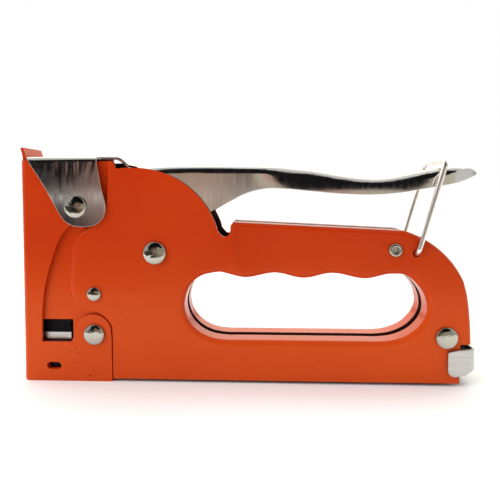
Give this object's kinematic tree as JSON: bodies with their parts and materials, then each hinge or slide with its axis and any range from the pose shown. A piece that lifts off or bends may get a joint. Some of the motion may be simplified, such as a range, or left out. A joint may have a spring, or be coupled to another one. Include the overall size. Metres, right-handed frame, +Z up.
{
  "type": "hand staple gun",
  "caption": "Hand-squeezed staple gun: pressed metal shells with a finger hole, plated squeeze lever, wire latch, spring striker and pull-out staple rail.",
  "frame": {"origin": "middle of the footprint, on the surface that the nose stands on", "axes": "+X from the nose to the tail, +Y across to the right-hand shell, +Z up"},
  "size_m": [0.1636, 0.024, 0.0844],
  "materials": {
    "orange_paint": "gloss orange-red enamel on pressed steel",
    "chrome": "bright plated sheet",
    "chrome_lever": "bright plated, lightly brushed sides",
    "nickel": "bright domed rivet",
    "zinc_wire": "bright drawn wire",
    "zinc_bright": "bright zinc plate",
    "zinc": "zinc-plated sheet",
    "steel": "machined steel",
    "spring_steel": "dark drawn spring wire",
    "dark_steel": "dark phosphated steel",
    "rubber": "matt black"
  },
  "bodies": {
    "body": {"shell_left": "orange_paint", "shell_right": "orange_paint", "front_channel": "orange_paint", "spring_cap": "chrome", "cap_rivet": "nickel", "lever_pivot_rivet": "nickel", "stop_rivet": "nickel", "nose_rivet": "nickel", "handle_rivet": "nickel", "rear_rivet": "nickel", "pivot_bush": "steel", "nose_spacer": "steel", "handle_spacer": "steel", "rear_spacer": "steel", "return_spring": "spring_steel", "spring_seat": "steel", "main_spring": "spring_steel", "bumper": "rubber", "magazine_channel": "zinc"},
    "lever": {"lever": "chrome_lever", "lifter": "steel"},
    "bail": {"latch_bail": "zinc_wire"},
    "striker": {"striker_block": "steel", "spring_cup": "dark_steel", "driver_blade": "steel"},
    "rail": {"staple_rail": "zinc", "guide_rod": "steel", "rear_latch_tab": "zinc_bright", "pusher_spring": "spring_steel"},
    "pusher": {"pusher": "steel"}
  },
  "joints": [
    {"name": "lever_swing", "type": "hinge", "parent": "body", "child": "lever", "pos_m": [-0.0332, 0, 0.0469], "axis": [0, -1, 0], "range_deg": [0, 18], "deforming": ["return_spring", "latch_bail"]},
    {"name": "bail_swing", "type": "hinge", "parent": "body", "child": "bail", "pos_m": [0.0585, 0, 0.0471], "axis": [0, 1, 0], "range_deg": [0, 72]},
    {"name": "striker_slide", "type": "slide", "parent": "body", "child": "striker", "axis": [0, 0, 1], "range_m": [0, 0.014], "stiffness_N_per_m": 2000, "springref_m": -0.01, "deforming": ["main_spring"]},
    {"name": "rail_slide", "type": "slide", "parent": "body", "child": "rail", "axis": [1, 0, 0], "range_m": [0, 0.11]},
    {"name": "pusher_slide", "type": "slide", "parent": "rail", "child": "pusher", "axis": [1, 0, 0], "range_m": [0, 0.1], "stiffness_N_per_m": 60, "springref_m": -0.06, "deforming": ["pusher_spring"]}
  ],
  "couplings": [
    {"joint": "bail_swing", "follows": "lever_swing", "ratio": 4}
  ]
}
